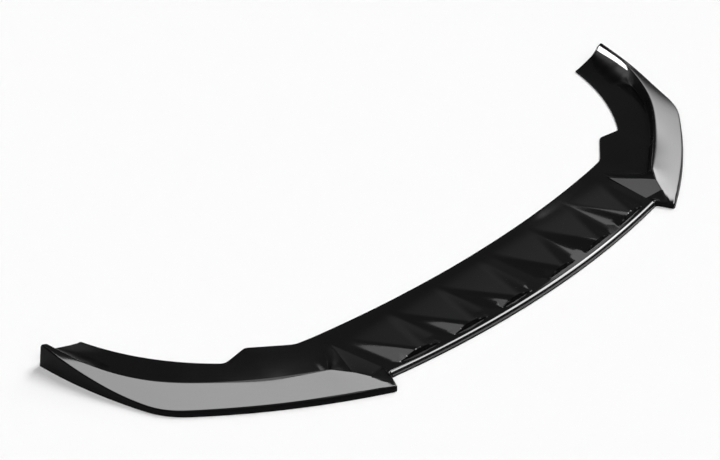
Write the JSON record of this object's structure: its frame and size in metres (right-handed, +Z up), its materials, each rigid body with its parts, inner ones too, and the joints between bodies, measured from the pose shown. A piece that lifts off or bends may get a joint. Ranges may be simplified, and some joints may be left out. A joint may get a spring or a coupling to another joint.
{
  "type": "front splitter lip",
  "caption": "One-piece gloss black front splitter lip with raised side blades, upturned winglet tips and a sloping centre with arrow-shaped ribs.",
  "frame": {"origin": "centre of the part's box in plan, at the underside of the skirt", "axes": "+X across the car, +Y towards the rear of the car so the leading edge faces -Y, +Z up"},
  "size_m": [1.8, 0.5649, 0.054],
  "materials": {
    "gloss_black": "high gloss piano black on the outside"
  },
  "bodies": {
    "root": {"splitter_lip": "gloss_black"}
  },
  "joints": []
}
